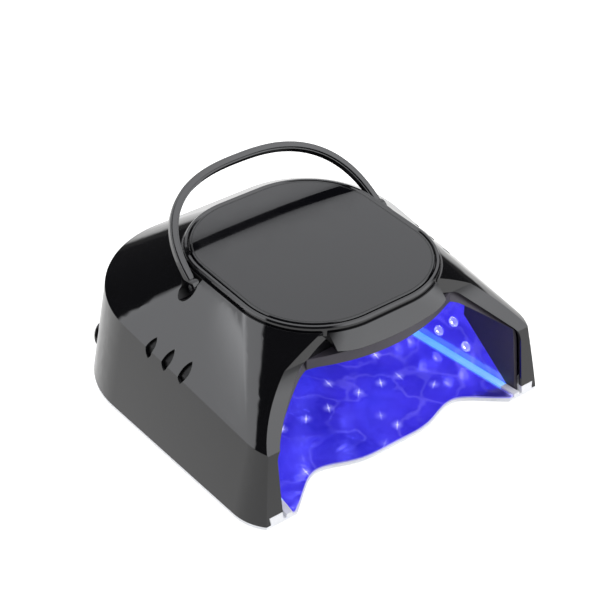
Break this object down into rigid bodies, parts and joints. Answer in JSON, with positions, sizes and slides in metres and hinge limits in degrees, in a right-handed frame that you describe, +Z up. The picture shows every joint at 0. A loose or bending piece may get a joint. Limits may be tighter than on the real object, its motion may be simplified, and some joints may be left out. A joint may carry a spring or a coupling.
{
  "type": "uv led nail lamp",
  "caption": "Table-top curing lamp for gel nails: an arched glossy shell over a lit hand cavity, with a touch panel, a swinging carry handle and a mirrored base that lifts off.",
  "frame": {"origin": "middle of the footprint, on the surface the feet stand on", "axes": "+Z up, -Y towards the open front, +X to the right when facing the opening from behind the user"},
  "size_m": [0.2446, 0.2251, 0.1331],
  "materials": {
    "white_plastic": "satin white moulded plastic",
    "mirror_film": "polished acrylic mirror",
    "foot_rubber": "soft white rubber",
    "steel": "plain bright steel",
    "black_gloss": "high-gloss black",
    "bezel_black": "fine satin black",
    "ring_black": "gloss black bead",
    "panel_glass": "smooth gloss touch panel",
    "green_board": "circuit board, green mask",
    "bush_nylon": "natural nylon",
    "vent_black": "matt black",
    "reflector_film": "bright reflective lining",
    "lens_clear": "clear domed caps",
    "emitter": "lit violet chips",
    "white_board": "circuit board, white mask",
    "sensor_dark": "dark infrared window",
    "brass": "plain brass",
    "fan_black": "matt black",
    "cell_wrap": "shrink-wrapped cells",
    "cover_black": "matt black",
    "nickel": "nickel plated"
  },
  "bodies": {
    "base": {"base_plate": "white_plastic", "mirror_sheet": "mirror_film", "base_feet": "foot_rubber", "base_steel_pads": "steel"},
    "lamp_head": {"outer_housing": "black_gloss", "arch_bezel": "bezel_black", "panel_ring": "ring_black", "top_panel": "panel_glass", "touch_board": "green_board", "touch_connector": "white_plastic", "pivot_bush_right": "bush_nylon", "pivot_bush_left": "bush_nylon", "vent_grille_right": "vent_black", "vent_grille_left": "vent_black", "reflector_liner": "reflector_film", "lenses_right": "lens_clear", "lenses_left": "lens_clear", "lenses_roof": "lens_clear", "led_emitters": "emitter", "led_board_right": "white_board", "led_board_left": "white_board", "led_board_roof": "white_board", "hand_sensor": "sensor_dark", "control_board": "green_board", "board_posts": "brass", "board_screws": "steel", "fan_frame": "fan_black", "battery_tray": "bezel_black", "battery_cells": "cell_wrap", "button_switch": "white_board", "dc_socket": "fan_black", "bottom_cover": "cover_black", "cover_magnets": "nickel", "cover_screws": "steel"},
    "carry_handle": {"carry_handle": "black_gloss", "handle_pin_right": "steel", "handle_pin_left": "steel"},
    "power_button": {"power_button": "black_gloss"},
    "fan_rotor": {"fan_rotor": "fan_black"}
  },
  "joints": [
    {"name": "head_lift_off", "type": "slide", "parent": "base", "child": "lamp_head", "axis": [0, 0, 1], "range_m": [0, 0.15]},
    {"name": "handle_swing", "type": "hinge", "parent": "lamp_head", "child": "carry_handle", "pos_m": [0, 0.0095, 0.0924], "axis": [1, 0, 0], "range_deg": [0, 70]},
    {"name": "button_press", "type": "slide", "parent": "lamp_head", "child": "power_button", "axis": [0.6437, -0.7652, 0], "range_m": [0, 0.0012], "stiffness_N_per_m": 900, "springref_m": -0.0004},
    {"name": "fan_spin", "type": "hinge", "parent": "lamp_head", "child": "fan_rotor", "pos_m": [0, 0.0225, 0.088], "axis": [0, 0, 1], "continuous": true}
  ]
}
